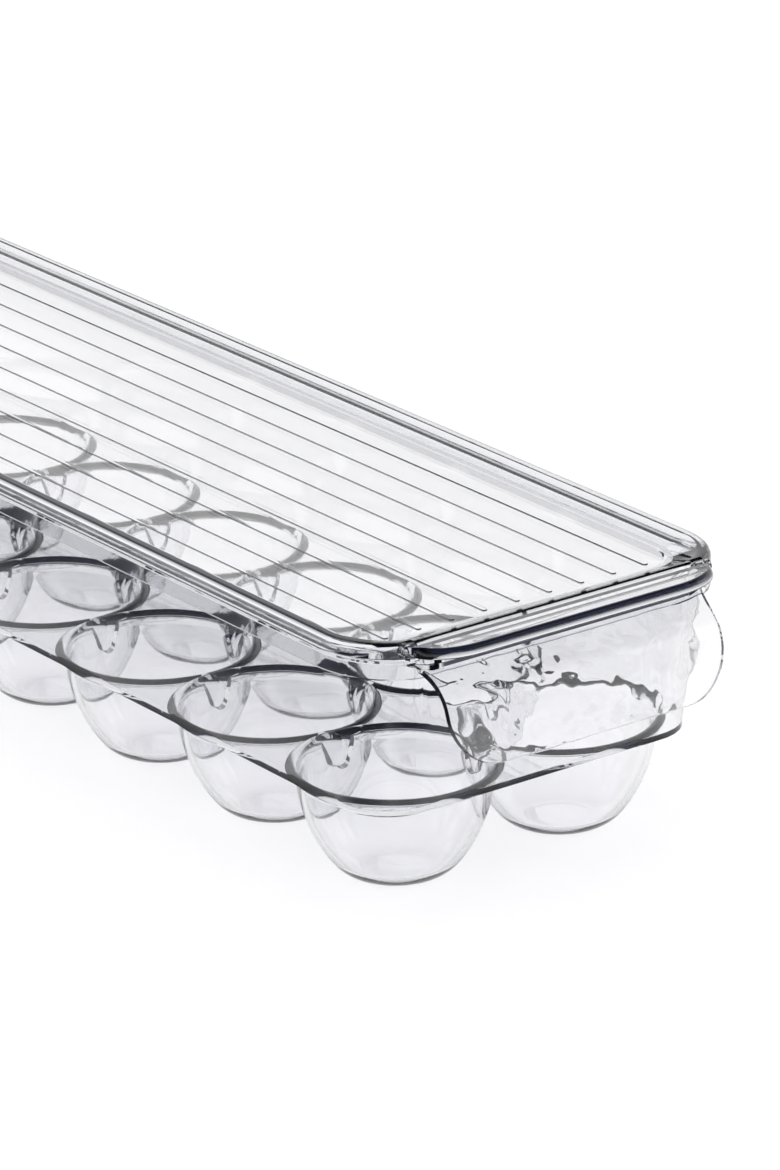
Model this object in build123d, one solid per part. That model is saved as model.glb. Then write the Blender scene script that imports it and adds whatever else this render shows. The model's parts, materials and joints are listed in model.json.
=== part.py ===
"""Egg keeper with a flip lid, in clear plastic. Millimetres, +Z up, +X towards the handle.

The object is two clear mouldings on one hinge line:
  the tray, with 2 rows of 7 egg cups hung from a deck, four sloped walls, a rim and a handle;
  the lid, a ribbed panel in a raised border, with two stub pins that snap into the tray.
Each moulding is written as touching pieces, so that every cup and wall is a solid of its own.
The origin is on the surface the cups stand on, under the middle of the overall length and width.
"""
from build123d import *
from math import cos, radians, sin, sqrt
import os

os.makedirs("parts", exist_ok=True)

# Egg cups
cup_columns = 7
cup_rows = 2
cup_pitch = 48.5
cup_depth = 27.9
cup_wall = 1.6
cup_floor = 1.8
cup_base_radius = 8.0
cup_heel_radius = 11.0
cup_heel_turn = 60.0
cup_mouth_radius = 22.8
cup_mouth_round = 2.0

# Deck between the cups
deck_thickness = 1.8
deck_side_margin = 24.05
deck_end_margin = 25.5
deck_corner_radius = 13.0

# Tray walls and rim
wall_thickness = 1.6
wall_height = 39.6
wall_side_flare = 4.0
wall_end_flare = 6.0
rim_overhang = 2.0
rim_height = 5.1
rim_flange_thickness = 1.6
rim_skirt_thickness = 1.2
rim_corner_radius = 20.0

# Lid
lid_height = 3.4
lid_wall = 1.6
lid_edge_round = 1.0
lid_to_wall_clearance = 0.3
border_slope = 0.79
panel_ledge_depth = 3.8
panel_ledge_width = 1.6
panel_recess_depth = 0.5
ramp_length = 9.7
foot_corner_radius = 10.5
rib_count = 9
rib_pitch = 9.5
rib_width = 1.5
rib_end_margin = 2.3

# Hinge, on a line across the lid's front end
hinge_pin_radius = 1.0
hinge_running_clearance = 0.05
hinge_line_ahead = 0.9
hinge_line_drop = 1.6
hinge_end_inset = 10.2
knuckle_radius = 1.5
knuckle_length = 2.6
socket_wall = 0.65
socket_length = 2.6
hinge_side_clearance = 0.6
hinge_gap = 0.4
pin_tip_length = 0.3

# Handle
ledge_reach = 41.6
ledge_end_overlap = 0.4
ledge_corner_radius = 14.0
ledge_thickness = 1.7
riser_thickness = 1.6
riser_to_pin_clearance = 0.6
riser_drop = 7.4
flap_thickness = 1.5
flap_root_x = 31.0
flap_root_drop = 1.9
flap_bend_x = 41.5
flap_bend_drop = 7.5
flap_bend_radius = 10.0
flap_tip_x = 46.3
flap_tip_drop = 24.6
flap_half_width = 40.2
flap_corner_radius = 13.0
flap_waist_drop = 11.1
flap_shoulder_spread = 2.4
flap_shoulder_drop = 2.9
flap_root_spread = 2.4
flap_root_top_drop = 1.5

# Heights and outlines that follow from the sizes above
array_half_length = cup_pitch * (cup_columns - 1) / 2
array_half_width = cup_pitch * (cup_rows - 1) / 2
deck_top = cup_depth
rim_top = deck_top + wall_height
lid_top = rim_top + lid_height
deck_half_length = array_half_length + deck_end_margin
deck_half_width = array_half_width + deck_side_margin
wall_top_half_length = deck_half_length + wall_end_flare
wall_top_half_width = deck_half_width + wall_side_flare
wall_top_corner_radius = rim_corner_radius - rim_overhang
rim_half_length = wall_top_half_length + rim_overhang
rim_half_width = wall_top_half_width + rim_overhang
handle_tip = array_half_length + flap_tip_x
middle_x = (handle_tip - rim_half_length) / 2
far_out = 4 * rim_half_length
hinge_half_width = rim_half_width - hinge_end_inset


def write(part, name):
    """Move a piece into the overall frame and write it as parts/NAME.step."""
    export_step(Pos(-middle_x, 0, 0) * part, "parts/" + name + ".step")


def prism(half_length, half_width, radius, low, high):
    """Upright block with a rounded-rectangle outline, centred on the cup array."""
    outline = RectangleRounded(2 * half_length, 2 * half_width, radius)
    return Pos(0, 0, low) * extrude(outline, amount=high - low)


def outline_at(front, rear, half_width, front_radius, rear_radius, height):
    """Rectangle from x = -rear to x = front at a height, with its own corner radius at each end."""
    outline = Rectangle(front + rear, 2 * half_width)
    outline = fillet(outline.vertices().group_by(Axis.X)[-1], front_radius)
    outline = fillet(outline.vertices().group_by(Axis.X)[0], rear_radius)
    return Pos((front - rear) / 2, 0, height) * outline


def box_between(x_low, x_high, y_low, y_high, z_low, z_high):
    """Block between two corners."""
    size = Box(x_high - x_low, y_high - y_low, z_high - z_low)
    return Pos((x_low + x_high) / 2, (y_low + y_high) / 2, (z_low + z_high) / 2) * size


def both_sides(part):
    """A piece on the left (+Y) side, and its mirror image on the right."""
    return part, mirror(part, about=Plane.XZ)


def four_sides(ring, split_x):
    """Cut a closed ring into its left, right, front and rear stretches."""
    tall = 2 * lid_top
    return {
        "left": ring & box_between(-split_x, split_x, 0, far_out, -tall, tall),
        "right": ring & box_between(-split_x, split_x, -far_out, 0, -tall, tall),
        "front": ring & box_between(split_x, far_out, -far_out, far_out, -tall, tall),
        "rear": ring & box_between(-far_out, -split_x, -far_out, far_out, -tall, tall),
    }


# Egg cups: a round-bottomed bowl under its own square of the deck, with a rounded mouth.
def bowl_profile(base_height, heel_radius, mouth_radius, mouth_height):
    """Half outline of a bowl, from its axis out to its mouth, as an open chain of edges."""
    heel_centre = (cup_base_radius, base_height + heel_radius)
    turn = radians(cup_heel_turn)
    heel_end = (heel_centre[0] + heel_radius * sin(turn), heel_centre[1] - heel_radius * cos(turn))
    floor = Line((0, base_height), (cup_base_radius, base_height))
    heel = CenterArc(heel_centre, heel_radius, -90, cup_heel_turn)
    side = TangentArc(heel_end, (mouth_radius, mouth_height), tangent=(cos(turn), sin(turn)))
    return floor + heel + side


def turned(chain, top_radius, top_height):
    """Solid of revolution of an open chain, closed over its top and along its axis."""
    closing = Polyline((top_radius, chain.bounding_box().max.Y), (top_radius, top_height),
                       (0, top_height), (0, chain.bounding_box().min.Y))
    face = make_face(chain.edges() + closing.edges())
    return revolve(Plane.XZ * face, Axis.Z)


def cup_hollow():
    """The space inside a cup, flared at its mouth."""
    inner_radius = cup_mouth_radius - cup_wall
    shoulder = deck_top - cup_mouth_round
    chain = bowl_profile(cup_floor, cup_heel_radius - cup_wall, inner_radius, shoulder)
    flare_centre = (inner_radius + cup_mouth_round, shoulder)
    chain = chain + CenterArc(flare_centre, cup_mouth_round, 180, -90)
    return turned(chain, inner_radius + cup_mouth_round, deck_top + 1)


bowl = turned(bowl_profile(0, cup_heel_radius, cup_mouth_radius, deck_top - deck_thickness / 2),
              cup_mouth_radius, deck_top)
hollow = cup_hollow()
deck = prism(deck_half_length, deck_half_width, deck_corner_radius, deck_top - deck_thickness, deck_top)

number = 0
for row in range(cup_rows):
    for column in range(cup_columns):
        number += 1
        x = cup_pitch * column - array_half_length
        y = cup_pitch * row - array_half_width
        x_low = x - cup_pitch / 2 if column > 0 else -far_out
        x_high = x + cup_pitch / 2 if column < cup_columns - 1 else far_out
        y_low = y - cup_pitch / 2 if row > 0 else -far_out
        y_high = y + cup_pitch / 2 if row < cup_rows - 1 else far_out
        tile = deck & box_between(x_low, x_high, y_low, y_high, 0, lid_top)
        write(tile + Pos(x, y, 0) * bowl - Pos(x, y, 0) * hollow, f"egg_cup_{number:02d}")


# Tray walls: they stand on the edge of the deck and flare out to the rim.
def flared_block(inset, low, high):
    """Solid inside the walls' outer faces, moved in by inset, between two heights."""
    def outline(height):
        share = (height - deck_top) / wall_height
        half_length = deck_half_length + wall_end_flare * share - inset
        half_width = deck_half_width + wall_side_flare * share - inset
        radius = deck_corner_radius + (wall_top_corner_radius - deck_corner_radius) * share - inset
        return outline_at(half_length, half_length, half_width, radius, radius, height)
    return loft([outline(low), outline(high)], ruled=True)


split_x = min(deck_half_length - deck_corner_radius, rim_half_length - rim_corner_radius)
wall_ring = flared_block(0, deck_top, rim_top) - flared_block(wall_thickness, deck_top, rim_top)
for side, wall in four_sides(wall_ring, split_x).items():
    write(wall, "tray_wall_" + side)

# Rim: a flange out from the top of the walls, with a skirt turned down at its edge.
rim_block = prism(rim_half_length, rim_half_width, rim_corner_radius, rim_top - rim_height, rim_top)
rim_groove = prism(rim_half_length - rim_skirt_thickness, rim_half_width - rim_skirt_thickness,
                   rim_corner_radius - rim_skirt_thickness, rim_top - rim_height, rim_top - rim_flange_thickness)
rim_ring = rim_block - rim_groove - flared_block(0, rim_top - 2 * rim_height, rim_top)
for side, rim in four_sides(rim_ring, split_x).items():
    write(rim, "tray_rim_" + side)

# Hinge line: across the tray just ahead of the lid's front end, below the lid's top face.
crest_inset = rim_overhang + wall_thickness + lid_to_wall_clearance
crest_inset += lid_wall * sqrt(1 + border_slope ** 2) - lid_height * border_slope
lid_end = rim_half_length - crest_inset
hinge_x = lid_end + hinge_line_ahead
hinge_z = lid_top - hinge_line_drop
socket_outer_radius = hinge_pin_radius + hinge_running_clearance + socket_wall
socket_start = hinge_half_width - hinge_side_clearance - socket_length
socket_end = hinge_half_width - hinge_side_clearance
pin_start = socket_start - pin_tip_length


def across(radius, y_low, y_high):
    """Cylinder along the hinge line between two distances from the centre plane."""
    turned_rod = Rot(-90, 0, 0) * Cylinder(radius, y_high - y_low)
    return Pos(hinge_x, (y_low + y_high) / 2, hinge_z) * turned_rod


# Handle ledge: a flat shelf level with the lid, on a riser that stands on the rim's front face.
in_front_of_rim = prism(rim_half_length, rim_half_width, rim_corner_radius, 0, 2 * lid_top)
ledge_front = array_half_length + ledge_reach
ledge_half_width = hinge_half_width + ledge_end_overlap
riser_half_width = pin_start - riser_to_pin_clearance
ledge_outline = outline_at(ledge_front, 0, ledge_half_width, ledge_corner_radius, ledge_corner_radius,
                           lid_top - ledge_thickness)
ledge_room = box_between(rim_half_length, far_out, -far_out, far_out, 0, 2 * lid_top)
ledge_plate = extrude(ledge_outline, amount=ledge_thickness) & ledge_room
riser = box_between(split_x, rim_half_length + riser_thickness, -riser_half_width, riser_half_width,
                    rim_top - riser_drop + lid_height, lid_top - ledge_thickness)
write(ledge_plate + riser - in_front_of_rim, "handle_ledge")

# Handle flap: a curved pull that runs out from the rim's front face and turns down.
flap_root = (array_half_length + flap_root_x, rim_top - flap_root_drop)
flap_bend = (array_half_length + flap_bend_x, rim_top - flap_bend_drop)
flap_tip = (handle_tip, rim_top - flap_tip_drop)
flap_shoulder_half_width = flap_half_width + flap_shoulder_spread
flap_root_half_width = flap_shoulder_half_width + flap_root_spread
overrun = flap_thickness
flap_line = FilletPolyline(flap_root, flap_bend, flap_tip, radius=flap_bend_radius)
flap_end = flap_line @ 1
flap_run_out = flap_end + (flap_line % 1) * overrun
flap_line = flap_line + Line(flap_end, flap_run_out)
flap_section = make_face(offset(flap_line, amount=flap_thickness, side=Side.RIGHT).edges())
flap_sheet = extrude(Plane.XZ * flap_section, amount=flap_root_half_width, both=True)


def flap_front_view():
    """Outline of the flap seen from the front: rounded lower corners and a wider root."""
    bottom = rim_top - flap_tip_drop
    corner = (flap_half_width - flap_corner_radius, bottom + flap_corner_radius)
    edges = Line((0, bottom), (corner[0], bottom))
    edges += CenterArc(corner, flap_corner_radius, -90, 90)
    edges += Polyline((flap_half_width, corner[1]),
                      (flap_half_width, max(corner[1] + 0.1, rim_top - flap_waist_drop)),
                      (flap_shoulder_half_width, rim_top - flap_shoulder_drop),
                      (flap_root_half_width, rim_top - flap_root_top_drop),
                      (flap_root_half_width, lid_top + lid_height), (0, lid_top + lid_height))
    half = make_face(edges.edges() + Line((0, lid_top + lid_height), (0, bottom)).edges())
    return half + mirror(half, about=Plane.YZ)


flap_cutter = extrude(Plane.YZ * flap_front_view(), amount=2 * far_out, both=True)
flap = (flap_sheet & flap_cutter) - in_front_of_rim - riser
write(flap, "handle_flap")

# Hinge sockets: bored lugs on the rim, at the two ends of the trough behind the ledge.
lug_foot = box_between(hinge_x - socket_outer_radius, rim_half_length, socket_start, socket_end,
                       rim_top, hinge_z)
lug = across(socket_outer_radius, socket_start, socket_end) + lug_foot
lug = (lug & box_between(0, far_out, 0, far_out, rim_top, lid_top)) & in_front_of_rim
lug = lug - across(hinge_pin_radius + hinge_running_clearance, socket_start - 1, socket_end + 1)
for side, socket in zip(("left", "right"), both_sides(lug)):
    write(socket, "hinge_socket_" + side)


# Lid: a solid border that rests on the rim, and a basin with the ribbed panel as its floor.
def basin(low, high, outward):
    """Solid inside the border's inner slope, moved outward level by a given width."""
    def outline(height):
        rise = height - rim_top
        inset = crest_inset - outward + (lid_height - rise) * border_slope
        ramp_share = (lid_top - height) / panel_ledge_depth
        ramp_outward = outward * sqrt(1 + (ramp_length / panel_ledge_depth) ** 2) / sqrt(1 + border_slope ** 2)
        front = lid_end - ramp_length * ramp_share + ramp_outward
        crest_radius = rim_corner_radius - crest_inset + outward
        front_radius = crest_radius + (foot_corner_radius - crest_radius) * ramp_share
        return outline_at(front, rim_half_length - inset, rim_half_width - inset,
                          front_radius, rim_corner_radius - inset, height)
    return loft([outline(low), outline(high)], ruled=True)


ledge_z = lid_top - panel_ledge_depth
panel_z = ledge_z - panel_recess_depth
slope_width = lid_wall * sqrt(1 + border_slope ** 2)
border_block = prism(rim_half_length, rim_half_width, rim_corner_radius, rim_top, lid_top)
border_block = fillet(border_block.edges().group_by(Axis.Z)[-1], lid_edge_round)
lid = border_block + basin(panel_z - lid_wall, lid_top - lid_wall, slope_width)
lid = lid - basin(ledge_z, lid_top, 0)

# The panel is sunk a little below the ledge round it, and its ribs come back up to that level.
foot_inset = crest_inset + panel_ledge_depth * border_slope + panel_ledge_width
field_front = lid_end - ramp_length - panel_ledge_width
field_rear = rim_half_length - foot_inset
field_half_width = rim_half_width - foot_inset


def field_block(low, high):
    """Block with the outline of the sunk field of the panel."""
    outline = outline_at(field_front, field_rear, field_half_width, foot_corner_radius,
                         rim_corner_radius - foot_inset, low)
    return extrude(outline, amount=high - low)


rib_length = field_front + field_rear - 2 * rib_end_margin
ribs = Part()
for index in range(rib_count):
    rib_y = rib_pitch * (index - (rib_count - 1) / 2)
    rib = extrude(SlotOverall(rib_length, rib_width), amount=panel_recess_depth)
    ribs = ribs + Pos((field_front - field_rear) / 2, rib_y, panel_z) * rib
lid = lid - field_block(panel_z, ledge_z) + ribs

# The front end stops short of the ledge, and is notched round the two sockets.
notch_start = socket_start - hinge_gap
lid = lid - box_between(lid_end, far_out, -hinge_half_width, hinge_half_width, 0, 2 * lid_top)
notch = box_between(hinge_x - socket_outer_radius - hinge_gap, far_out, notch_start, hinge_half_width,
                    0, 2 * lid_top)
for cut in both_sides(notch):
    lid = lid - cut

field_column = field_block(0, 2 * lid_top)
write(lid & field_column, "lid_panel")
border = lid - field_column

# Hinge pins: a knuckle on each front corner of the lid, with a stub pin pointing inwards.
knuckle = across(knuckle_radius, hinge_half_width, hinge_half_width + knuckle_length)
pin = across(hinge_pin_radius, pin_start, hinge_half_width)
for side, stretch in four_sides(border, field_front - foot_corner_radius).items():
    for piece in both_sides(knuckle):
        stretch = stretch - piece
    write(stretch, "lid_border_" + side)
for side, piece in zip(("left", "right"), both_sides(knuckle + pin)):
    write(piece, "hinge_pin_" + side)
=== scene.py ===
"""Clear egg keeper with a flip lid: the looks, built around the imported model.

Lengths are in metres. +X runs along the keeper towards its handle, +Z is up.
The tray and the lid are each one continuous clear moulding here, and stand for their CAD nodes.
"""
import json
import math

import bmesh
import bpy
from mathutils import Euler, Matrix, Vector, noise


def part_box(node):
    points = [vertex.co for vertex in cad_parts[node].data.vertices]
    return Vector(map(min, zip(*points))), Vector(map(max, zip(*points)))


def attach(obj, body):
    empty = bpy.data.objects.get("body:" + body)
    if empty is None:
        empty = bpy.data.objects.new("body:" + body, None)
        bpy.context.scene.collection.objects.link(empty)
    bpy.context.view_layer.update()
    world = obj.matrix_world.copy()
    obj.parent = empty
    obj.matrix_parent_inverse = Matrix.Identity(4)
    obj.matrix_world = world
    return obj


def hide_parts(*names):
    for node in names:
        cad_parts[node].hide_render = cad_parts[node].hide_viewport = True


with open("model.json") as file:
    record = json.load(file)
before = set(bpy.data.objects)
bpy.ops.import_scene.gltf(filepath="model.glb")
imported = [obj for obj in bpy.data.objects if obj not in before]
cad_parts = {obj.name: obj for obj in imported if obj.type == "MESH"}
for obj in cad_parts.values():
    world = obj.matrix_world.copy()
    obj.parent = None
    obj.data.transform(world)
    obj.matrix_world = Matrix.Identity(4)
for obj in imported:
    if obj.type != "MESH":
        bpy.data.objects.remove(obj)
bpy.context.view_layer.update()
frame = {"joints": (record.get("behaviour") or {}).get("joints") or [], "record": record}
bodies = frame["record"]["behaviour"]["bodies"]
mm = 0.001

# ---------------------------------------------------------------------------------------------
# Tray bowl and deck. Fourteen round-bottomed cups hang from one flat deck in an injection
# moulding of clear styrene copolymer. Inside, each cup spreads to a wide mouth with a low
# rounded bead round it; underneath, a small fillet carries the cup into the deck.
# ---------------------------------------------------------------------------------------------
middle_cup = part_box("egg_cup_04")
last_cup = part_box("egg_cup_14")
cup_pitch = middle_cup[1].x - middle_cup[0].x
middle_x = (middle_cup[0].x + middle_cup[1].x) / 2
deck_top = middle_cup[1].z
deck_half_length = last_cup[1].x - middle_x
deck_half_width = last_cup[1].y
deck_thickness = 1.3 * mm
cup_columns = 7
cup_rows = 2
cup_wall = 1.2 * mm
cup_floor = 1.8 * mm
cup_base_radius = 7.75 * mm
cup_heel_radius = 10.0 * mm
cup_heel_turn = math.radians(52)
cup_shoulder_slope = math.radians(84)
shoulder_passes = 4
cup_directions = 64
mouth_radius = 25.4 * mm
mouth_spread_radius = 9.0 * mm
mouth_spread_end = math.radians(60)
bead_height = 0.8 * mm
bead_round = 1.6 * mm
bead_end = math.radians(-62)
under_fillet_radius = 2.0 * mm
under_fillet_reach = 25.4 * mm
deck_corner_radius = 13.0 * mm
arc_steps = 10
bead_steps = 12
touching = 0.0001 * mm
skin_merge_gap = 0.001 * mm
mouth_merge_gap = 0.005 * mm
deck_merge_gap = 0.02 * mm


def swing(bm, vertex, centre, angle, steps):
    """Draw an arc in the XZ plane from a vertex, round a centre, and return its last vertex."""
    made = bmesh.ops.spin(bm, geom=[vertex], cent=centre, axis=(0, -1, 0), angle=angle, steps=steps)
    return [item for item in made["geom_last"] if isinstance(item, bmesh.types.BMVert)][-1]


def cup_skin(top, low, heel_radius, reach, spread_radius, spread_end=0, edge_round=0, edge_end=0):
    """One skin of a cup, turned about its axis: flat base, heel, side, spread and mouth edge.

    The side is one arc from heel to spread, whose slope at the shoulder is found in a few passes.
    Returns the skin, its outline above the heel and the radius of its shoulder.
    """
    bm = bmesh.new()
    start = bm.verts.new((cup_base_radius, 0, low))
    vertex = swing(bm, start, Vector((cup_base_radius, 0, low + heel_radius)), cup_heel_turn, arc_steps)
    heel_end = vertex.co.copy()
    steepest = cup_shoulder_slope
    for _ in range(shoulder_passes):
        shoulder = Vector((
            reach - edge_round * (math.sin(spread_end) - math.sin(edge_end))
            - spread_radius * (math.sin(steepest) - math.sin(spread_end)), 0,
            top - edge_round * (math.cos(edge_end) - math.cos(spread_end))
            - spread_radius * (math.cos(spread_end) - math.cos(steepest))))
        chord = shoulder - heel_end
        bend = 2 * (math.atan2(chord.z, chord.x) - cup_heel_turn)
        steepest = cup_heel_turn + bend
    side_radius = chord.length / (2 * math.sin(bend / 2))
    side_centre = heel_end + side_radius * Vector((-math.sin(cup_heel_turn), 0, math.cos(cup_heel_turn)))
    vertex = swing(bm, vertex, side_centre, bend, arc_steps)
    spread_centre = vertex.co + spread_radius * Vector((math.sin(steepest), 0, -math.cos(steepest)))
    vertex = swing(bm, vertex, spread_centre, spread_end - steepest, arc_steps)
    if edge_round:
        edge_centre = vertex.co + edge_round * Vector((math.sin(spread_end), 0, -math.cos(spread_end)))
        swing(bm, vertex, edge_centre, edge_end - spread_end, bead_steps)
    outline = sorted((v.co.x, v.co.z) for v in bm.verts if v.co.z > heel_end.z)
    bmesh.ops.spin(bm, geom=bm.verts[:] + bm.edges[:], cent=(0, 0, 0), axis=(0, 0, 1),
                   angle=math.tau, steps=cup_directions, use_merge=True)
    bmesh.ops.remove_doubles(bm, verts=bm.verts[:], dist=skin_merge_gap)
    lowest = [e for e in bm.edges if e.is_boundary and e.verts[0].co.z < top / 2]
    bmesh.ops.contextual_create(bm, geom=lowest)
    return bm, outline, shoulder.x


def share_edge(vertex, back, front, near, far):
    """Where a vertex's direction from the cup's axis meets the edge of the cup's share of the deck."""
    step = round(math.atan2(vertex.co.y, vertex.co.x) / math.tau * cup_directions)
    angle = step * math.tau / cup_directions
    across = max(abs(math.cos(angle)), abs(math.sin(angle)))
    x, y = math.cos(angle) / across, math.sin(angle) / across
    return Vector((x * (front if x > 0 else back), y * (far if y > 0 else near), 0))


def height_at(outline, radius):
    """Height of a cup's skin at a distance from its axis."""
    for (r_low, z_low), (r_high, z_high) in zip(outline, outline[1:]):
        if r_low <= radius <= r_high:
            return z_low + (z_high - z_low) * (radius - r_low) / max(r_high - r_low, touching)
    return outline[-1][1]


def fit_cup(bm, outline, shoulder, reaches, top):
    """Stop a cup's mouth at its neighbours and the walls, and give the cup its share of the deck."""
    reach = outline[-1][0]
    for vertex in bm.verts:
        radius = math.hypot(vertex.co.x, vertex.co.y)
        if radius <= shoulder + touching:
            continue
        edge = share_edge(vertex, *reaches)
        if edge.length < reach:
            share = (radius - shoulder) / (reach - shoulder)
            radius = shoulder + (edge.length - shoulder) * share
            flat = edge.normalized() * radius
            vertex.co = Vector((flat.x, flat.y, height_at(outline, radius)))
    ring = [e for e in bm.edges if e.is_boundary]
    made = bmesh.ops.extrude_edge_only(bm, edges=ring)
    for vertex in [v for v in made["geom"] if isinstance(v, bmesh.types.BMVert)]:
        edge = share_edge(vertex, *reaches)
        if edge.length > reach:
            vertex.co = Vector((edge.x, edge.y, top))
    bmesh.ops.remove_doubles(bm, verts=bm.verts[:], dist=mouth_merge_gap)


def add_to(whole, part):
    """Add one bmesh to another, and free it."""
    mesh = bpy.data.meshes.new("part")
    part.to_mesh(mesh)
    part.free()
    whole.from_mesh(mesh)
    bpy.data.meshes.remove(mesh)


def cup_spot(column, row):
    """Where a cup's axis stands, along and across from the middle of the tray."""
    return cup_pitch * (column - (cup_columns - 1) / 2), cup_pitch * (row - (cup_rows - 1) / 2)


def tray_skin(inset, top, **cup_shape):
    """One skin of all the cups and the deck, out to the foot of the walls.

    Returns the skin, its open edge, and for each vertex of that edge its foot and its way out.
    """
    whole = bmesh.new()
    half_length = deck_half_length - inset
    half_width = deck_half_width - inset
    corner_radius = deck_corner_radius - inset
    end_reach = half_length - cup_pitch * (cup_columns - 1) / 2
    side_reach = half_width - cup_pitch * (cup_rows - 1) / 2
    for row in range(cup_rows):
        for column in range(cup_columns):
            reaches = (end_reach if column == 0 else cup_pitch / 2,
                       end_reach if column == cup_columns - 1 else cup_pitch / 2,
                       side_reach if row == 0 else cup_pitch / 2,
                       side_reach if row == cup_rows - 1 else cup_pitch / 2)
            cell, outline, shoulder = cup_skin(top, **cup_shape)
            fit_cup(cell, outline, shoulder, reaches, top)
            bmesh.ops.translate(cell, verts=cell.verts[:], vec=(*cup_spot(column, row), 0))
            add_to(whole, cell)
    bmesh.ops.remove_doubles(whole, verts=whole.verts[:], dist=deck_merge_gap)
    corner_x = half_length - corner_radius
    corner_y = half_width - corner_radius
    loop = [e for e in whole.edges if e.is_boundary]
    feet = {}
    for vertex in {v for e in loop for v in e.verts}:
        x = max(abs(vertex.co.x) - corner_x, 0)
        y = max(abs(vertex.co.y) - corner_y, 0)
        if x > 0 and y > 0:
            way = Vector((math.copysign(x, vertex.co.x), math.copysign(y, vertex.co.y))).normalized()
            vertex.co.x = math.copysign(corner_x, vertex.co.x) + corner_radius * way.x
            vertex.co.y = math.copysign(corner_y, vertex.co.y) + corner_radius * way.y
        elif x > 0:
            way = Vector((math.copysign(1, vertex.co.x), 0))
        else:
            way = Vector((0, math.copysign(1, vertex.co.y)))
        feet[vertex] = (vertex.co.copy(), way)
    return whole, loop, feet


# ---------------------------------------------------------------------------------------------
# Tray walls and rim. The same moulding runs up from the edge of the deck in four thin flared
# walls, turns out over a flat rim and ends in a short skirt turned down outside the walls.
# ---------------------------------------------------------------------------------------------
rim_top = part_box("tray_wall_left")[1].z
rim_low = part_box("tray_rim_left")[0].z
rim_half_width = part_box("tray_rim_left")[1].y
rim_half_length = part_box("tray_rim_front")[1].x - middle_x
wall_half_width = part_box("tray_wall_left")[1].y
wall_half_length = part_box("tray_wall_front")[1].x - middle_x
wall_foot = 0.8 * mm
wall_top_thickness = 1.0 * mm
rim_flange = 1.6 * mm
rim_skirt = 1.2 * mm
foot_rise = 0.5 * mm
rim_inner_round = 0.8 * mm
rim_outer_round = 0.5 * mm


def extruded(bm, edges, notes):
    """Extrude a row of edges, and hand each old vertex's note on to its new one."""
    made = bmesh.ops.extrude_edge_only(bm, edges=edges)["geom"]
    new_verts = {v for v in made if isinstance(v, bmesh.types.BMVert)}
    new_edges = [e for e in made if isinstance(e, bmesh.types.BMEdge)
                 and all(v in new_verts for v in e.verts)]
    new_notes = {}
    for v in {v for e in edges for v in e.verts}:
        for e in v.link_edges:
            other = e.other_vert(v)
            if other in new_verts:
                new_notes[other] = notes[v]
    return new_edges, new_notes


def raise_walls(skin, levels):
    """Carry one skin of the tray up through levels, each a distance out from the foot and a height."""
    bm, loop, feet = skin
    for out_x, out_y, height in levels:
        loop, feet = extruded(bm, loop, feet)
        for v, (foot, way) in feet.items():
            v.co = Vector((foot.x + way.x * out_x, foot.y + way.y * out_y, height))
    return bm, loop


def in_turn(loop):
    """The vertices of a closed edge loop in order, from its front middle towards +Y."""
    neighbours = {}
    for e in loop:
        for v in e.verts:
            neighbours.setdefault(v, []).append(e.other_vert(v))
    start = min(neighbours, key=lambda v: abs(v.co.y) - v.co.x)
    path = [start, max(neighbours[start], key=lambda v: v.co.y)]
    while path[-1] is not start:
        path.append(next(v for v in neighbours[path[-1]] if v is not path[-2]))
    return path[:-1]


flare_x = wall_half_length - deck_half_length
flare_y = wall_half_width - deck_half_width
over_x = rim_half_length - deck_half_length
over_y = rim_half_width - deck_half_width
deck_level = deck_top - bead_height
thickening = wall_top_thickness - wall_foot
inner_x, inner_y = flare_x - thickening, flare_y - thickening
shrink = 1 - rim_inner_round / (rim_top - deck_top)
inner_levels = [(0, 0, deck_level + foot_rise),
                (inner_x * shrink, inner_y * shrink, rim_top - rim_inner_round)]
for degrees in (30, 60, 90):
    turn = math.radians(degrees)
    out = rim_inner_round * (1 - math.cos(turn))
    inner_levels.append((inner_x + out, inner_y + out, rim_top - rim_inner_round * (1 - math.sin(turn))))
for degrees in (90, 45, 0):
    turn = math.radians(degrees)
    back = wall_foot - rim_outer_round * (1 - math.cos(turn))
    inner_levels.append((over_x + back, over_y + back, rim_top - rim_outer_round * (1 - math.sin(turn))))
inner_levels.append((over_x + wall_foot, over_y + wall_foot, rim_low))
under_flange = 1 - rim_flange / (rim_top - deck_top)
outer_levels = [(0, 0, deck_level),
                (flare_x * under_flange, flare_y * under_flange, rim_top - rim_flange),
                (over_x - rim_skirt, over_y - rim_skirt, rim_top - rim_flange),
                (over_x - rim_skirt, over_y - rim_skirt, rim_low)]
inner, inner_edge = raise_walls(
    tray_skin(wall_foot, deck_level, low=cup_floor, heel_radius=cup_heel_radius - cup_wall,
              reach=mouth_radius, spread_radius=mouth_spread_radius, spread_end=mouth_spread_end,
              edge_round=bead_round, edge_end=bead_end), inner_levels)
rim_line = [v.co.copy() for v in in_turn(inner_edge)]
tray, outer_edge = raise_walls(
    tray_skin(0, deck_level - deck_thickness, low=0, heel_radius=cup_heel_radius,
              reach=under_fillet_reach, spread_radius=under_fillet_radius), outer_levels)
made = bmesh.ops.extrude_edge_only(tray, edges=outer_edge)["geom"]
last_edge = [e for e in made if isinstance(e, bmesh.types.BMEdge) and e.is_boundary]
for vertex, spot in zip(in_turn(last_edge), rim_line):
    vertex.co = spot
add_to(tray, inner)
bmesh.ops.remove_doubles(tray, verts=tray.verts[:], dist=skin_merge_gap)
bmesh.ops.translate(tray, verts=tray.verts[:], vec=(middle_x, 0, 0))
bmesh.ops.recalc_face_normals(tray, faces=tray.faces[:])


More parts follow.
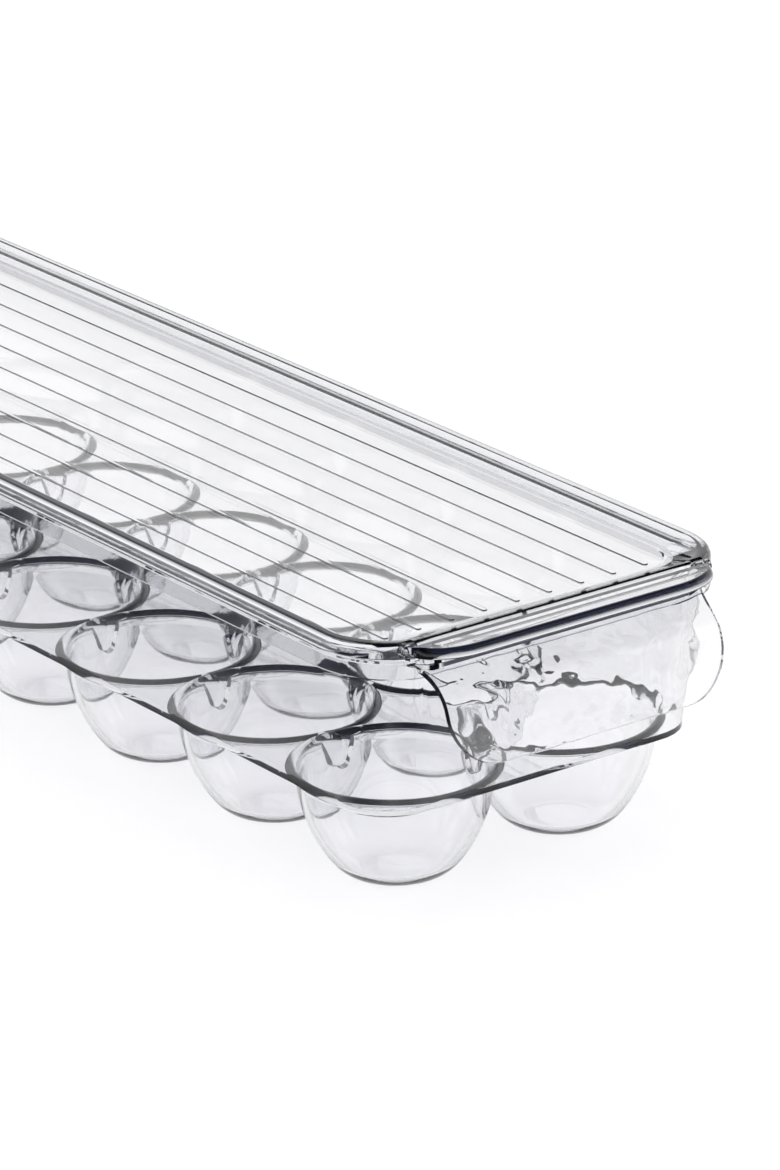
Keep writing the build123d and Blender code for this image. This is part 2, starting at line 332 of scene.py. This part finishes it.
def as_object(bm, name):
    """A new mesh object from a bmesh, at the origin."""
    mesh = bpy.data.meshes.new(name)
    bm.to_mesh(mesh)
    bm.free()
    obj = bpy.data.objects.new(name, mesh)
    bpy.context.scene.collection.objects.link(obj)
    return obj


def settle(obj):
    """Replace an object's mesh by what its modifiers make of it."""
    graph = bpy.context.evaluated_depsgraph_get()
    made = bpy.data.meshes.new_from_object(obj.evaluated_get(graph))
    old = obj.data
    obj.modifiers.clear()
    obj.data = made
    made.name = obj.name
    bpy.data.meshes.remove(old)


def weld_or_cut(obj, others, operation):
    """Weld other closed pieces to a closed piece, or cut them out of it."""
    for other in others:
        step = obj.modifiers.new("join", "BOOLEAN")
        step.operation = operation
        step.solver = "MANIFOLD"
        step.object = other
    settle(obj)
    for other in others:
        bpy.data.objects.remove(other)


tray_moulding = as_object(tray, "tray_moulding")

# ---------------------------------------------------------------------------------------------
# Webs. Where two cups come close, the narrow gap between them is filled by a short web under
# the deck, so the moulding doesn't flex there.
# ---------------------------------------------------------------------------------------------
web_half_width = 4.4 * mm
web_foot_half_width = 1.3 * mm
web_foot_flat = 0.05 * mm
web_low = deck_level - 8.4 * mm
web_high = deck_level - 0.6 * mm
web_low_half_thickness = 2.6 * mm
web_high_half_thickness = 1.7 * mm


def web(spot, along_x):
    """One web: a plate with a round lower end, thicker at its foot, between cups along or across."""
    bm = bmesh.new()
    made = bmesh.ops.create_grid(bm, x_segments=1, y_segments=1, size=1)["verts"]
    bmesh.ops.scale(bm, vec=(web_half_width, (web_high - web_low) / 2, 1), verts=made)
    lower = [v for v in bm.verts if v.co.y < 0]
    for v in lower:
        v.co.x *= web_foot_half_width / web_half_width
    bmesh.ops.bevel(bm, geom=lower, offset=web_foot_half_width - web_foot_flat, segments=6, profile=0.5,
                    affect="VERTICES", material=-1)
    made = bmesh.ops.extrude_face_region(bm, geom=bm.faces[:])["geom"]
    lifted = {v for v in made if isinstance(v, bmesh.types.BMVert)}
    for v in bm.verts:
        height = v.co.y + (web_high - web_low) / 2
        share = height / (web_high - web_low)
        half = web_low_half_thickness + (web_high_half_thickness - web_low_half_thickness) * share
        half = half if v in lifted else -half
        flat = (half, v.co.x) if along_x else (v.co.x, half)
        v.co = Vector((*flat, web_low + height))
    bmesh.ops.recalc_face_normals(bm, faces=bm.faces[:])
    bmesh.ops.translate(bm, verts=bm.verts[:], vec=spot)
    return as_object(bm, "web")


webs = []
for row in range(cup_rows):
    for column in range(cup_columns):
        x, y = cup_spot(column, row)
        if column < cup_columns - 1:
            webs.append(web((middle_x + x + cup_pitch / 2, y, 0), True))
        if row < cup_rows - 1:
            webs.append(web((middle_x + x, y + cup_pitch / 2, 0), False))
weld_or_cut(tray_moulding, webs, "UNION")

# ---------------------------------------------------------------------------------------------
# Handle ledge. A riser on the front of the rim carries a flat rounded ledge, level with the
# closed lid, for the thumb. Both are part of the tray moulding.
# ---------------------------------------------------------------------------------------------
ledge_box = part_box("handle_ledge")
lid_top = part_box("lid_border_left")[1].z
rim_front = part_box("tray_rim_front")[1].x
weld_depth = 0.4 * mm
ledge_thickness = 2.4 * mm
ledge_low = lid_top - ledge_thickness
ledge_corner_radius = 14.0 * mm
ledge_top_round = 1.8 * mm
ledge_under_round = 0.3 * mm
riser_thickness = 1.6 * mm
riser_half_width = 37.0 * mm
riser_corner_radius = 2.0 * mm
riser_low = deck_top + 36.0 * mm
level_slack = 0.1 * mm
sharp_angle = math.radians(40)


def rounded_plate(front, rear, half_width, front_radius, rear_radius, low, high, steps=10):
    """Closed plate with rounded corners, given by its front and rear ends and its thickness."""
    bm = bmesh.new()
    made = bmesh.ops.create_grid(bm, x_segments=1, y_segments=1, size=1)
    bmesh.ops.scale(bm, vec=((front - rear) / 2, half_width, 1), verts=made["verts"])
    bmesh.ops.translate(bm, vec=((front + rear) / 2, 0, low), verts=made["verts"])
    for end, radius in ((front, front_radius), (rear, rear_radius)):
        if radius > 0:
            corners = [v for v in bm.verts if abs(v.co.x - end) < touching]
            bmesh.ops.bevel(bm, geom=corners, offset=radius, segments=steps, profile=0.5,
                            affect="VERTICES", material=-1)
    made = bmesh.ops.extrude_face_region(bm, geom=bm.faces[:])
    lifted = [v for v in made["geom"] if isinstance(v, bmesh.types.BMVert)]
    bmesh.ops.translate(bm, vec=(0, 0, high - low), verts=lifted)
    bmesh.ops.recalc_face_normals(bm, faces=bm.faces[:])
    return bm


def soften(bm, width, segments, keep):
    """Round the edges of a closed piece that a test picks out."""
    sharp = [e for e in bm.edges if e.calc_face_angle(0) > sharp_angle and keep(e)]
    bmesh.ops.bevel(bm, geom=sharp, offset=width, segments=segments, profile=0.5,
                    affect="EDGES", material=-1)


def ahead_of_rim(edge):
    """Whether an edge of the ledge lies on its free outline and not where it meets the rim."""
    return max(v.co.x for v in edge.verts) > rim_front + mm


ledge = rounded_plate(ledge_box[1].x, rim_front - weld_depth, ledge_box[1].y, ledge_corner_radius, 0,
                      ledge_low, lid_top)
soften(ledge, ledge_top_round, 6,
       lambda e: min(v.co.z for v in e.verts) > lid_top - level_slack and ahead_of_rim(e))
soften(ledge, ledge_under_round, 2,
       lambda e: max(v.co.z for v in e.verts) < ledge_low + level_slack and ahead_of_rim(e))
ledge = as_object(ledge, "ledge")
riser = rounded_plate(rim_front + riser_thickness, rim_front - 2 * weld_depth, riser_half_width,
                      riser_corner_radius, 0, riser_low, lid_top - ledge_thickness / 2)
riser = as_object(riser, "riser")

# ---------------------------------------------------------------------------------------------
# Pull flap. Under the ledge a thin flap bows out and down for the fingers, with round lower
# corners. It is part of the tray moulding, and its outer face keeps gentle waves from the mould.
# ---------------------------------------------------------------------------------------------
flap_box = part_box("handle_flap")
last_cup_x = middle_x + cup_spot(cup_columns - 1, 0)[0]
flap_thickness = 1.5 * mm
flap_bend_radius = 10.0 * mm
flap_root = Vector((last_cup_x + 31.0 * mm, 0, deck_top + 38.9 * mm))
flap_corner = Vector((last_cup_x + 41.5 * mm, 0, deck_top + 32.1 * mm))
flap_tip = Vector((flap_box[1].x, 0, flap_box[0].z))
flap_half_width = 39.8 * mm
flap_corner_radius = 13.0 * mm
flap_root_half_width = 42.6 * mm
flap_spread = 8.0 * mm
flap_columns = 80
flap_root_rows = 8
flap_bend_rows = 10
flap_face_rows = 14
flap_edge_round = 0.6 * mm
flap_edge_angle = math.radians(50)
flap_wave_depth = 0.28 * mm
flap_wave_size = 5.5 * mm
flap_wave_fade = 1.2
flap_wave_ratio = 2.3
flap_wave_octaves = 3


def flap_width_at(height):
    """Half the flap's width at a height: round lower corners, and a quick spread at its root."""
    rise = height - flap_tip.z
    if rise < flap_corner_radius:
        return (flap_half_width - flap_corner_radius
                + math.sqrt(max(flap_corner_radius ** 2 - (flap_corner_radius - rise) ** 2, 0)))
    left = (flap_root.z - height) / (flap_root.z - flap_corner.z) * (flap_corner - flap_root).length
    share = max(1 - left / flap_spread, 0) ** 2
    return flap_half_width + (flap_root_half_width - flap_half_width) * share


def next_row(bm, edges, move):
    """Extrude the flap's last row of edges and move the new row."""
    made = bmesh.ops.extrude_edge_only(bm, edges=edges)["geom"]
    verts = [v for v in made if isinstance(v, bmesh.types.BMVert)]
    for v in verts:
        v.co = move(v.co)
    return [e for e in made if isinstance(e, bmesh.types.BMEdge) and all(v in verts for v in e.verts)]


flap = bmesh.new()
down = (flap_tip - flap_corner).normalized()
out = (flap_corner - flap_root).normalized()
turn = out.angle(down)
reach = flap_bend_radius * math.tan(turn / 2)
bend_start = flap_corner - out * reach
bend_end = flap_corner + down * reach
bend_centre = bend_start + flap_bend_radius * Vector((out.z, 0, -out.x))
strip = bmesh.ops.create_grid(flap, x_segments=1, y_segments=flap_columns, size=1)["verts"]
bmesh.ops.delete(flap, geom=[v for v in strip if v.co.x > 0], context="VERTS")
for v in flap.verts:
    v.co = Vector((flap_root.x, v.co.y, flap_root.z))
row_edges = flap.edges[:]
for step in range(1, flap_root_rows + 1):
    spot = flap_root.lerp(bend_start, step / flap_root_rows)
    row_edges = next_row(flap, row_edges, lambda co: Vector((spot.x, co.y, spot.z)))
swing_step = Matrix.Rotation(turn / flap_bend_rows, 3, "Y")
for step in range(flap_bend_rows):
    row_edges = next_row(flap, row_edges, lambda co: Vector(
        (0, co.y, 0)) + bend_centre + swing_step @ Vector((co.x - bend_centre.x, 0, co.z - bend_centre.z)))
for step in range(1, flap_face_rows + 1):
    rise = 1 - math.sin(math.pi / 2 * step / flap_face_rows)
    spot = flap_tip + (bend_end - flap_tip) * rise
    row_edges = next_row(flap, row_edges, lambda co: Vector((spot.x, co.y, spot.z)))
for v in flap.verts:
    v.co.y *= flap_width_at(v.co.z)
bmesh.ops.recalc_face_normals(flap, faces=flap.faces[:])
if flap.faces[0].normal.z < 0:
    bmesh.ops.reverse_faces(flap, faces=flap.faces[:])
flap = as_object(flap, "flap")
outer_count = len(flap.data.vertices)
shell = flap.modifiers.new("wall", "SOLIDIFY")
shell.thickness = flap_thickness
shell.offset = -1
settle(flap)
for v in flap.data.vertices[:outer_count]:
    wave = noise.fractal(v.co / flap_wave_size, flap_wave_fade, flap_wave_ratio, flap_wave_octaves)
    v.co += v.normal * flap_wave_depth * wave
edge = flap.modifiers.new("edge", "BEVEL")
edge.width = flap_edge_round
edge.segments = 3
edge.limit_method = "ANGLE"
edge.angle_limit = flap_edge_angle
settle(flap)

# ---------------------------------------------------------------------------------------------
# Hinge sockets. Two small bored lugs stand on the front of the rim, one at each end of the
# trough behind the ledge, and take the lid's stub pins.
# ---------------------------------------------------------------------------------------------
hinge_x, _, hinge_z = frame["joints"][0]["pos_m"]
socket_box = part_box("hinge_socket_left")
socket_outer_radius = socket_box[1].z - hinge_z
socket_bore_radius = 1.05 * mm
bore_overrun = 1.0 * mm


def rod(radius, y_low, y_high, steps=28):
    """Closed cylinder on the hinge line between two distances from the centre plane."""
    bm = bmesh.new()
    bmesh.ops.create_cone(bm, cap_ends=True, segments=steps, radius1=radius, radius2=radius,
                          depth=y_high - y_low)
    bmesh.ops.rotate(bm, verts=bm.verts[:], matrix=Matrix.Rotation(math.pi / 2, 3, "X"))
    bmesh.ops.translate(bm, verts=bm.verts[:], vec=(hinge_x, (y_low + y_high) / 2, hinge_z))
    return bm


lugs = []
bores = []
for side in (-1, 1):
    y_ends = sorted((side * socket_box[0].y, side * socket_box[1].y))
    lugs.append(as_object(rod(socket_outer_radius, *y_ends), "lug"))
    foot = rounded_plate(rim_front - weld_depth, hinge_x - socket_outer_radius, 1, 0, 0,
                         rim_top - weld_depth, hinge_z)
    for v in foot.verts:
        v.co.y = y_ends[0] if v.co.y < 0 else y_ends[1]
    lugs.append(as_object(foot, "lug_foot"))
    bore = rod(socket_bore_radius, y_ends[0] - bore_overrun, y_ends[1] + bore_overrun)
    bores.append(as_object(bore, "bore"))
weld_or_cut(tray_moulding, [ledge, riser, flap] + lugs, "UNION")
weld_or_cut(tray_moulding, bores, "DIFFERENCE")

# ---------------------------------------------------------------------------------------------
# Tray plastic. The tray is polished styrene copolymer, water clear with a faint cool cast and a
# very slightly uneven, flow-marked surface. It is one moulding, which stands for all its nodes.
# ---------------------------------------------------------------------------------------------
plastic_ior = 1.57
least_polish = 0.03
flow_mark_strength = 0.25
flow_mark_depth = 0.02 * mm
tray_tint = (0.990, 0.990, 0.999, 1)
tray_flow_size = 9 * mm
crease_angle = math.radians(32)
flat_face_weight = 100


def clear_plastic(name, tint, flow_size):
    """Polished clear plastic with faint flow marks in its surface."""
    material = bpy.data.materials.new(name)
    material.use_nodes = True
    nodes = material.node_tree.nodes
    links = material.node_tree.links
    shader = nodes["Principled BSDF"]
    shader.inputs["Base Color"].default_value = tint
    shader.inputs["Transmission Weight"].default_value = 1.0
    shader.inputs["IOR"].default_value = plastic_ior
    place = nodes.new("ShaderNodeTexCoord")
    flow = nodes.new("ShaderNodeTexNoise")
    flow.inputs["Scale"].default_value = 1 / flow_size
    flow.inputs["Detail"].default_value = 2.0
    polish = nodes.new("ShaderNodeMapRange")
    polish.inputs["To Min"].default_value = 0.0
    polish.inputs["To Max"].default_value = least_polish
    bump = nodes.new("ShaderNodeBump")
    bump.inputs["Strength"].default_value = flow_mark_strength
    bump.inputs["Distance"].default_value = flow_mark_depth
    links.new(place.outputs["Object"], flow.inputs["Vector"])
    links.new(flow.outputs["Fac"], polish.inputs["Value"])
    links.new(polish.outputs["Result"], shader.inputs["Roughness"])
    links.new(flow.outputs["Fac"], bump.inputs["Height"])
    links.new(bump.outputs["Normal"], shader.inputs["Normal"])
    return material


def polish_moulding(moulding, plastic):
    """Give a finished moulding its plastic, smooth curves and true flats."""
    moulding.data.materials.clear()
    moulding.data.materials.append(plastic)
    moulding.data.polygons.foreach_set("use_smooth", [True] * len(moulding.data.polygons))
    moulding.data.set_sharp_from_angle(angle=crease_angle)
    even = moulding.modifiers.new("true_flats", "WEIGHTED_NORMAL")
    even.weight = flat_face_weight
    even.keep_sharp = True
    settle(moulding)


polish_moulding(tray_moulding, clear_plastic("clear_tray_plastic", tray_tint, tray_flow_size))
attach(tray_moulding, "tray")
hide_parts(*bodies["tray"])

# ---------------------------------------------------------------------------------------------
# Lid. A second clear moulding: a raised border, hollow underneath, with a rounded outer edge and
# a sloped inner face, round a sunk flat panel. Its front end rises in a long ramp to a straight
# edge on the hinge line.
# ---------------------------------------------------------------------------------------------
panel_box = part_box("lid_panel")
lid_low = panel_box[0].z
lid_end = last_cup_x + 30.25 * mm
border_width = 3.25 * mm
border_slope = 0.79
panel_ledge_depth = 3.8 * mm
panel_ledge_width = 1.6 * mm
panel_recess_depth = 0.5 * mm
panel_recess_draft = 0.25 * mm
panel_ledge_z = lid_top - panel_ledge_depth
panel_z = panel_ledge_z - panel_recess_depth
ramp_length = 9.7 * mm
foot_corner_radius = 10.5 * mm
lid_corner_radius = 20.0 * mm
lid_edge_round = 1.8 * mm
lid_seat_gap = 0.1 * mm
lid_seat = rim_top + lid_seat_gap
lid_wall = 1.6 * mm
lid_skirt = 1.3 * mm
lid_end_thickness = 0.6 * mm
lid_to_wall_clearance = 0.3 * mm
under_ramp_lead = 0.9 * mm
under_corner_gain = 0.5 * mm
lid_corner_steps = 12
pattern_corner = 0.5


class Outline:
    """Rounded rectangle of the lid at one level: its reach each way and its corner radii."""

    def __init__(self, front, rear, half_width, front_radius, rear_radius, height, front_height=None):
        self.ends = {1: front, -1: -rear}
        self.radii = {1: front_radius, -1: rear_radius}
        self.half_width = half_width
        self.heights = {1: height if front_height is None else front_height, -1: height}
        self.height = height

    def point(self, end, side, way):
        """The point on this outline that faces a given way, at one of its corners."""
        radius = self.radii[end]
        lift = (self.heights[end] - self.height) * max(way.x * end, 0) ** 2
        return Vector((self.ends[end] + (way.x - end) * radius,
                       side * (self.half_width - radius) + way.y * radius, self.height + lift))


def lid_outline(inset, height, ramp=0, front_height=None, corner=None):
    """Outline parallel to the lid's edge, with its front end drawn back along the ramp."""
    radius = lid_corner_radius - inset
    return Outline(rim_half_length - inset - ramp, rim_half_length - inset, rim_half_width - inset,
                   radius if corner is None else corner, radius, height, front_height)


foot_inset = border_width + panel_ledge_depth * border_slope
field_inset = foot_inset + panel_ledge_width
recess_inset = field_inset - panel_recess_draft
under_inset = rim_half_width - (wall_half_width - cup_wall - lid_to_wall_clearance)
lower_inset = under_inset + (rim_top - lid_low) * border_slope
foot_ramp = ramp_length - (foot_inset - border_width)
lower_ramp = foot_ramp + foot_inset - lower_inset - under_ramp_lead
top_rings = [lid_outline(field_inset, panel_z, foot_ramp, corner=foot_corner_radius),
             lid_outline(recess_inset, panel_ledge_z, foot_ramp, corner=foot_corner_radius),
             lid_outline(foot_inset, panel_ledge_z, foot_ramp, corner=foot_corner_radius),
             lid_outline(border_width, lid_top)]
outer_rings = []
for degrees in (90, 75, 60, 45, 30, 15, 0):
    turn = math.radians(degrees)
    outer_rings.append(lid_outline(lid_edge_round * (1 - math.cos(turn)),
                                   lid_top - lid_edge_round * (1 - math.sin(turn))))
hollow_top = lid_top - lid_wall
hollow_inset = under_inset - (hollow_top - lid_seat) * border_slope
end_low = lid_top - lid_end_thickness
under_rings = [lid_outline(0, lid_seat),
               lid_outline(lid_skirt, lid_seat, front_height=end_low),
               lid_outline(lid_skirt, hollow_top, front_height=end_low),
               lid_outline(hollow_inset, hollow_top, front_height=end_low),
               lid_outline(under_inset, lid_seat, front_height=end_low),
               lid_outline(lower_inset, lid_low, lower_ramp, corner=foot_corner_radius + under_corner_gain)]

lid = bmesh.new()
bmesh.ops.create_grid(lid, x_segments=1, y_segments=1, size=1)
bmesh.ops.bevel(lid, geom=lid.verts[:], offset=pattern_corner, segments=lid_corner_steps, profile=0.5,
                affect="VERTICES", material=-1)
bmesh.ops.delete(lid, geom=lid.faces[:], context="FACES_ONLY")
ways = {}
for v in lid.verts:
    end, side = (1 if v.co.x > 0 else -1), (1 if v.co.y > 0 else -1)
    out = Vector((v.co.x - end * pattern_corner, v.co.y - side * pattern_corner))
    ways[v] = (end, side, out.normalized())
ring = lid.edges[:]
first_ring = ring
for number, outline in enumerate(top_rings + outer_rings + under_rings):
    if number:
        ring, ways = extruded(lid, ring, ways)
    for v, facing in ways.items():
        v.co = outline.point(*facing)
bmesh.ops.contextual_create(lid, geom=first_ring)
bmesh.ops.contextual_create(lid, geom=ring)
bmesh.ops.translate(lid, verts=lid.verts[:], vec=(middle_x, 0, 0))
bmesh.ops.recalc_face_normals(lid, faces=lid.faces[:])
lid_moulding = as_object(lid, "lid_moulding")

# ---------------------------------------------------------------------------------------------
# Lid ribs. Nine fine ribs with softened edges and round ends run the length of the sunk panel
# and stiffen it. They are part of the lid moulding.
# ---------------------------------------------------------------------------------------------
rib_count = 9
rib_pitch = 9.5 * mm
rib_width = 1.5 * mm
rib_height = 0.3 * mm
rib_end_margin = 2.3 * mm
rib_end_flat = 0.02 * mm
rib_end_radius = rib_width / 2 - rib_end_flat
rib_round = 0.12 * mm
rib_sink = 0.3 * mm
ribs = []
for number in range(rib_count):
    rib_y = rib_pitch * (number - (rib_count - 1) / 2)
    rib = rounded_plate(panel_box[1].x - rib_end_margin, panel_box[0].x + rib_end_margin, rib_width / 2,
                        rib_end_radius, rib_end_radius, panel_z - rib_sink, panel_z + rib_height, steps=6)
    soften(rib, rib_round, 2, lambda e: min(v.co.z for v in e.verts) > panel_z)
    bmesh.ops.translate(rib, verts=rib.verts[:], vec=(0, rib_y, 0))
    ribs.append(as_object(rib, "rib"))

# ---------------------------------------------------------------------------------------------
# Lid hinge. The lid's front corners carry two knuckles with stub pins that point inwards into
# the sockets; the end between them is cut straight and notched round the lugs. The lid is of the
# same clear plastic as the tray, and stands for all the lid's nodes.
# ---------------------------------------------------------------------------------------------
pin_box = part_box("hinge_pin_left")
knuckle_start = 44.1 * mm
knuckle_end = 44.9 * mm
knuckle_radius = 1.3 * mm
pin_radius = 1.0 * mm
pin_sink = 1.0 * mm
notch_gap = 0.4 * mm
notch_start = socket_box[0].y - notch_gap
cut_overlap = 0.1 * mm
cut_front = lid_end + 100 * mm
lid_tint = (0.985, 0.985, 0.998, 1)
lid_flow_size = 14 * mm
cutters = [as_object(rounded_plate(cut_front, lid_end, notch_start, 0, 0, 0, 2 * lid_top), "end_cut")]
knuckles = []
for side in (-1, 1):
    notch = rounded_plate(cut_front, hinge_x - socket_outer_radius - notch_gap, 1, 0, 0, 0, 2 * lid_top)
    for v in notch.verts:
        v.co.y = side * (notch_start - cut_overlap if v.co.y < 0 else knuckle_start)
    bmesh.ops.recalc_face_normals(notch, faces=notch.faces[:])
    cutters.append(as_object(notch, "notch"))
    ends = sorted((side * knuckle_start, side * knuckle_end))
    knuckles.append(as_object(rod(knuckle_radius, *ends), "knuckle"))
    ends = sorted((side * pin_box[0].y, side * (knuckle_start + pin_sink)))
    knuckles.append(as_object(rod(pin_radius, *ends), "pin"))
weld_or_cut(lid_moulding, cutters, "DIFFERENCE")
weld_or_cut(lid_moulding, ribs + knuckles, "UNION")
polish_moulding(lid_moulding, clear_plastic("clear_lid_plastic", lid_tint, lid_flow_size))
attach(lid_moulding, "lid")
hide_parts(*bodies["lid"])

# ---------------------------------------------------------------------------------------------
# Floor. A white floor that runs out of sight. Light that the plastic has bounced more than once
# on its way to the eye meets a floor painted dark, and light bounced once meets painted dark
# patches beyond the front and the near side, which no ray straight from the eye sees. Both are
# painted dark reflections that draw the edges and leave the object's shadow alone.
# ---------------------------------------------------------------------------------------------
floor_size = 6.0
floor_drop = 0.1 * mm
floor_colour = (0.99, 0.99, 0.995, 1)
# Painted dark reflection: the floor's colour for light that the plastic has bounced.
floor_painted_dark = (0.02, 0.023, 0.045, 1)
first_dim_bounce = 1.0
last_dim_bounce = 2.2
front_dark_patch_start = 0.190
near_dark_patch_start = 0.060
dark_patch_fade = 0.04
dark_patch_depth = 0.9


def combine(tree, operation, first, second):
    """Combine two values in a node tree, each of them a plain number or another node's output."""
    node = tree.nodes.new("ShaderNodeMath")
    node.operation = operation
    for port, value in zip(node.inputs, (first, second)):
        if isinstance(value, (int, float)):
            port.default_value = value
        else:
            tree.links.new(value, port)
    return node.outputs[0]


def fade_between(tree, value, start, end, depth=1.0):
    """A value's rise from nothing at one end of a range to its full depth at the other."""
    fade = tree.nodes.new("ShaderNodeMapRange")
    fade.inputs["From Min"].default_value = start
    fade.inputs["From Max"].default_value = end
    fade.inputs["To Max"].default_value = depth
    tree.links.new(value, fade.inputs["Value"])
    return fade.outputs["Result"]


floor = bmesh.new()
bmesh.ops.create_grid(floor, x_segments=1, y_segments=1, size=floor_size)
bmesh.ops.translate(floor, verts=floor.verts[:], vec=(0, 0, -floor_drop))
floor = as_object(floor, "floor")
floor_paint = bpy.data.materials.new("white_floor")
floor_paint.use_nodes = True
tree = floor_paint.node_tree
shader = tree.nodes["Principled BSDF"]
shader.inputs["Roughness"].default_value = 1.0
shader.inputs["Specular IOR Level"].default_value = 0.0
bounces = tree.nodes.new("ShaderNodeLightPath").outputs["Glossy Depth"]
place = tree.nodes.new("ShaderNodeTexCoord")
split = tree.nodes.new("ShaderNodeSeparateXYZ")
tree.links.new(place.outputs["Object"], split.inputs["Vector"])
# Painted dark patches beyond the front and the near side, seen only in the plastic's reflections.
painted_darkening = []
for axis, side, start in (("X", 1, front_dark_patch_start), ("Y", -1, near_dark_patch_start)):
    away = combine(tree, "MULTIPLY", split.outputs[axis], side)
    painted_darkening.append(fade_between(tree, away, start, start + dark_patch_fade, dark_patch_depth))
# The painted dark patches show only to light bounced once; for light bounced again the whole floor is
# painted dark.
mirrored = combine(tree, "MULTIPLY", combine(tree, "MINIMUM", bounces, 1.0),
                   combine(tree, "MAXIMUM", painted_darkening[0], painted_darkening[1]))
dimmed = combine(tree, "MAXIMUM", fade_between(tree, bounces, first_dim_bounce, last_dim_bounce), mirrored)
paint = tree.nodes.new("ShaderNodeMixRGB")
paint.use_clamp = True
paint.inputs["Color1"].default_value = floor_colour
paint.inputs["Color2"].default_value = floor_painted_dark
tree.links.new(dimmed, paint.inputs["Fac"])
tree.links.new(paint.outputs["Color"], shader.inputs["Base Color"])
floor.data.materials.append(floor_paint)

# ---------------------------------------------------------------------------------------------
# Room. A plain white room that lights the floor and the plastic evenly. Only in the plastic's
# reflections and refractions is it painted white low down and dark overhead, a painted dark
# reflection. Light that the plastic has bounced more than once sees a painted dark colour here
# too, and clear plastic needs many bounces before the light is through it.
# ---------------------------------------------------------------------------------------------
room_light = 1.08
# Painted dark reflection: the sky that only the plastic's reflections and refractions see, dark overhead.
reflected_sky_steps = ((0.0, (1, 1, 1, 1)), (0.40, (1, 1, 1, 1)), (0.52, (0.55, 0.56, 0.6, 1)),
                 (0.70, (0.12, 0.125, 0.15, 1)), (1.0, (0.02, 0.022, 0.04, 1)))
# Painted dark colour for light that the plastic has bounced more than once.
sky_painted_dark = (0.004, 0.005, 0.014, 1)

room = bpy.data.worlds.new("studio")
bpy.context.scene.world = room
room.use_nodes = True
tree = room.node_tree
tree.nodes.clear()
result = tree.nodes.new("ShaderNodeOutputWorld")
plain = tree.nodes.new("ShaderNodeBackground")
plain.inputs["Color"].default_value = (1, 1, 1, 1)
plain.inputs["Strength"].default_value = room_light
mirrored = tree.nodes.new("ShaderNodeBackground")
pick = tree.nodes.new("ShaderNodeMixShader")
paths = tree.nodes.new("ShaderNodeLightPath")
place = tree.nodes.new("ShaderNodeTexCoord")
split = tree.nodes.new("ShaderNodeSeparateXYZ")
reflected_sky = tree.nodes.new("ShaderNodeValToRGB")
tree.links.new(place.outputs["Generated"], split.inputs["Vector"])
tree.links.new(split.outputs["Z"], reflected_sky.inputs["Fac"])
ramp = reflected_sky.color_ramp.elements
ramp[0].position, ramp[0].color = reflected_sky_steps[0]
ramp[1].position, ramp[1].color = reflected_sky_steps[-1]
for position, colour in reflected_sky_steps[1:-1]:
    ramp.new(position).color = colour
# Paints the reflected sky dark for light bounced more than once.
painted_darkening = tree.nodes.new("ShaderNodeMixRGB")
painted_darkening.inputs["Color2"].default_value = sky_painted_dark
tree.links.new(fade_between(tree, paths.outputs["Glossy Depth"], first_dim_bounce, last_dim_bounce),
               painted_darkening.inputs["Fac"])
tree.links.new(reflected_sky.outputs["Color"], painted_darkening.inputs["Color1"])
tree.links.new(painted_darkening.outputs["Color"], mirrored.inputs["Color"])
seen = combine(tree, "MAXIMUM", paths.outputs["Is Camera Ray"], paths.outputs["Diffuse Depth"])
seen.node.use_clamp = True
tree.links.new(seen, pick.inputs["Fac"])
tree.links.new(mirrored.outputs[0], pick.inputs[1])
tree.links.new(plain.outputs[0], pick.inputs[2])
tree.links.new(pick.outputs[0], result.inputs["Surface"])

room.cycles.sampling_method = "NONE"
cycles = bpy.context.scene.cycles
cycles.blur_glossy = 0.0
cycles.max_bounces = 48
cycles.transmission_bounces = 40
cycles.glossy_bounces = 16

# ---------------------------------------------------------------------------------------------
# Camera. A long lens, a little above the lid, that looks across the handle end from its near
# corner.
# ---------------------------------------------------------------------------------------------
camera_data = bpy.data.cameras.new("camera")
camera_data.lens = 194.73
camera = bpy.data.objects.new("camera", camera_data)
bpy.context.scene.collection.objects.link(camera)
camera_place = Vector((1.247246, -0.830818, 0.591714))
view_azimuth = math.radians(53.965)
view_elevation = math.radians(20.778)
view_roll = math.radians(-1.1555)
camera.matrix_world = (Matrix.Translation(camera_place)
                       @ Euler((math.pi / 2 - view_elevation, 0, view_azimuth)).to_matrix().to_4x4()
                       @ Matrix.Rotation(view_roll, 4, "Z"))
bpy.context.scene.camera = camera
bpy.context.scene.view_settings.view_transform = "Standard"
